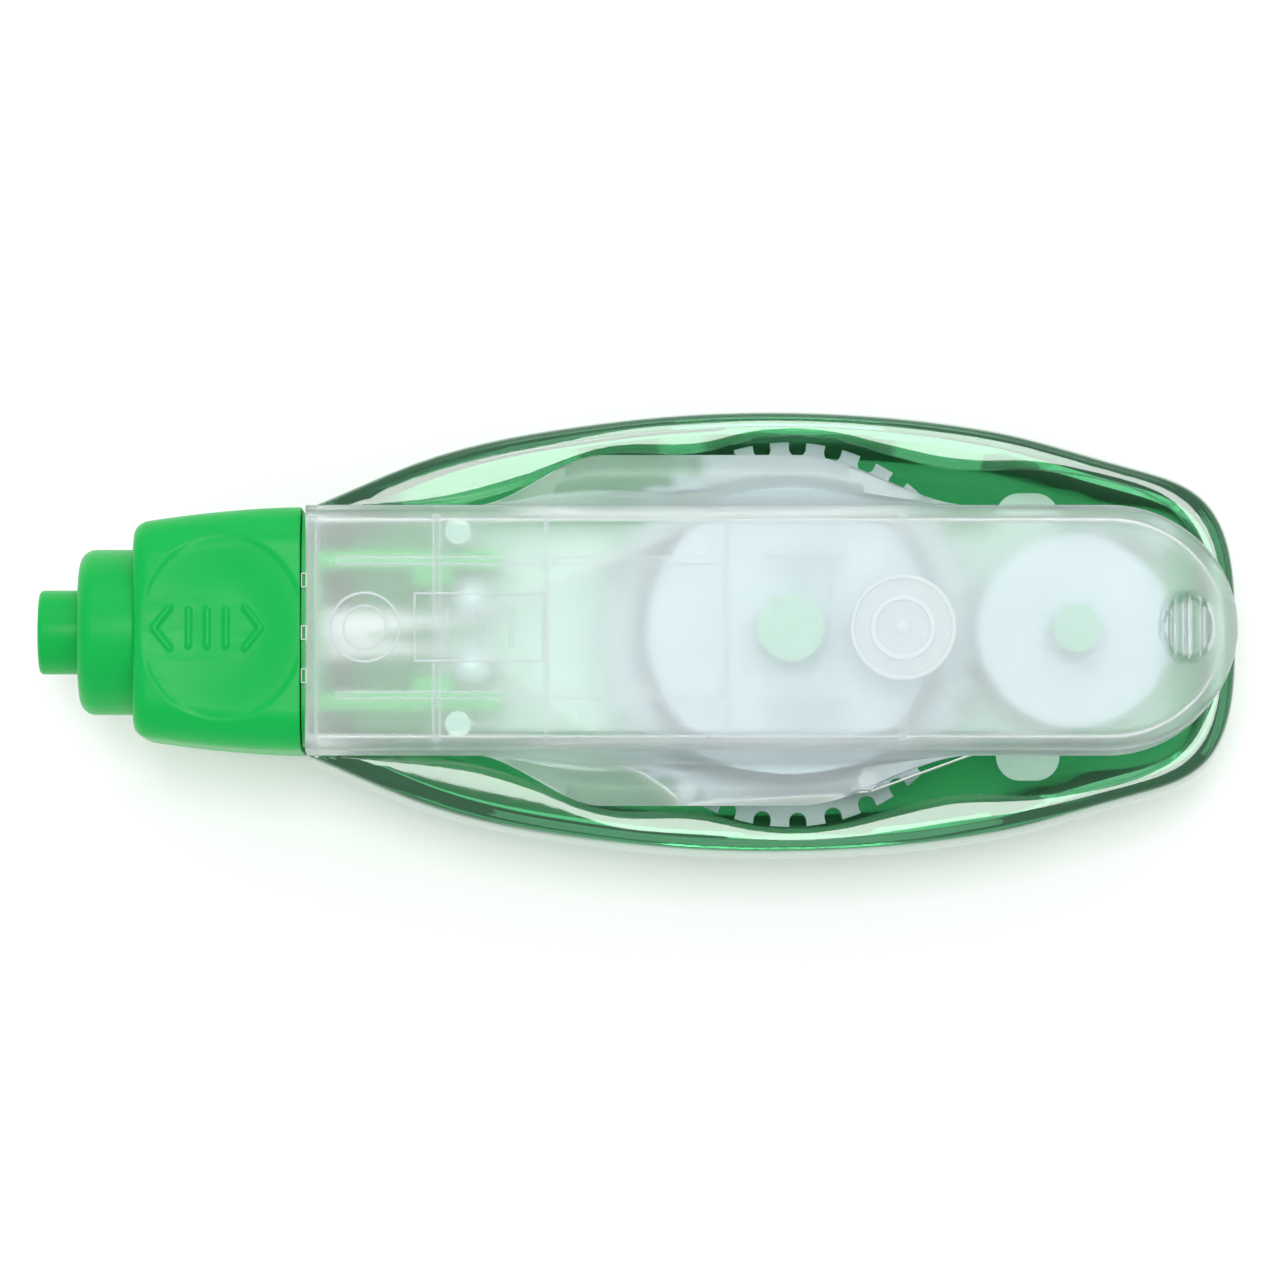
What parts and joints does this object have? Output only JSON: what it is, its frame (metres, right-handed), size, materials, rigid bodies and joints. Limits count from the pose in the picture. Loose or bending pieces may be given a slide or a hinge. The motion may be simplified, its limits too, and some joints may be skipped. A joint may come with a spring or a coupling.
{
  "type": "correction tape roller",
  "caption": "Palm-shaped correction tape roller with a translucent refill tray, geared tape reels and a twisting cap over the tip.",
  "frame": {"origin": "middle of the length and width, at the crown that it rests on", "axes": "+X to the rear, away from the tip; +Z towards the flat tray face that meets the paper in use"},
  "size_m": [0.09, 0.0338, 0.022],
  "materials": {
    "shell_green": "polished transparent green plastic",
    "cap_green": "opaque bright green plastic, satin gloss",
    "tray_frost": "frosted natural plastic, translucent, satin",
    "carrier_green": "opaque green plastic",
    "reel_white": "milky translucent plastic",
    "plate_green": "pale green translucent plastic",
    "tip_white": "smooth white plastic",
    "tape_white": "matt white correction film on release paper",
    "film_clear": "spent glassine release film",
    "washer_steel": "rolled spring steel",
    "pin_steel": "ground steel"
  },
  "bodies": {
    "shell": {"outer_shell": "shell_green"},
    "refill": {"tray_frame": "tray_frost", "reel_plate": "plate_green", "swivel_ring": "carrier_green", "head_carrier": "carrier_green", "tip_blade": "tip_white", "tip_roller_pin": "pin_steel", "clutch_washer": "washer_steel", "feed_tape": "tape_white", "return_tape": "film_clear"},
    "twist_cap": {"nose_shell": "cap_green", "tip_guard": "cap_green"},
    "drive_gear": {"drive_gear": "reel_white"},
    "supply_spool": {"supply_spool": "reel_white", "spool_disc": "reel_white", "supply_tape": "tape_white"},
    "take_up_reel": {"take_up_reel": "reel_white", "take_up_disc": "reel_white", "take_up_tape": "film_clear"},
    "guide_roller_left": {"guide_roller_left": "reel_white"},
    "guide_roller_right": {"guide_roller_right": "reel_white"},
    "tip_roller": {"tip_roller": "tip_white"},
    "ratchet_pawl": {"ratchet_pawl": "reel_white"}
  },
  "joints": [
    {"name": "refill_lift", "type": "slide", "parent": "shell", "child": "refill", "axis": [0, 0, 1], "range_m": [0, 0.02]},
    {"name": "cap_twist", "type": "hinge", "parent": "refill", "child": "twist_cap", "pos_m": [-0.03, 0, 0.0144], "axis": [1, 0, 0], "range_deg": [0, 180]},
    {"name": "drive_gear_spin", "type": "hinge", "parent": "refill", "child": "drive_gear", "pos_m": [0.0112, 0, 0.0144], "axis": [0, 0, 1], "continuous": true},
    {"name": "supply_spool_spin", "type": "hinge", "parent": "refill", "child": "supply_spool", "pos_m": [0.0112, 0, 0.0144], "axis": [0, 0, 1], "continuous": true},
    {"name": "take_up_spin", "type": "hinge", "parent": "refill", "child": "take_up_reel", "pos_m": [0.03245, 0, 0.0144], "axis": [0, 0, 1], "continuous": true},
    {"name": "guide_left_spin", "type": "hinge", "parent": "refill", "child": "guide_roller_left", "pos_m": [-0.0126, 0.0026, 0.0144], "axis": [0, 0, 1], "continuous": true},
    {"name": "guide_right_spin", "type": "hinge", "parent": "refill", "child": "guide_roller_right", "pos_m": [-0.0126, -0.0026, 0.0144], "axis": [0, 0, 1], "continuous": true},
    {"name": "tip_roller_spin", "type": "hinge", "parent": "refill", "child": "tip_roller", "pos_m": [-0.04385, 0, 0.0144], "axis": [0, 1, 0], "continuous": true},
    {"name": "pawl_swing", "type": "hinge", "parent": "refill", "child": "ratchet_pawl", "pos_m": [0.0389, 0.0074, 0.0144], "axis": [0, 0, -1], "range_deg": [0, 10], "stiffness_Nm_per_rad": 0.0005}
  ],
  "couplings": [
    {"joint": "supply_spool_spin", "follows": "drive_gear_spin", "ratio": 1},
    {"joint": "take_up_spin", "follows": "drive_gear_spin", "ratio": -1.9412},
    {"joint": "guide_left_spin", "follows": "drive_gear_spin", "ratio": -7.6923},
    {"joint": "guide_right_spin", "follows": "drive_gear_spin", "ratio": 7.6923},
    {"joint": "tip_roller_spin", "follows": "drive_gear_spin", "ratio": 16.667}
  ]
}
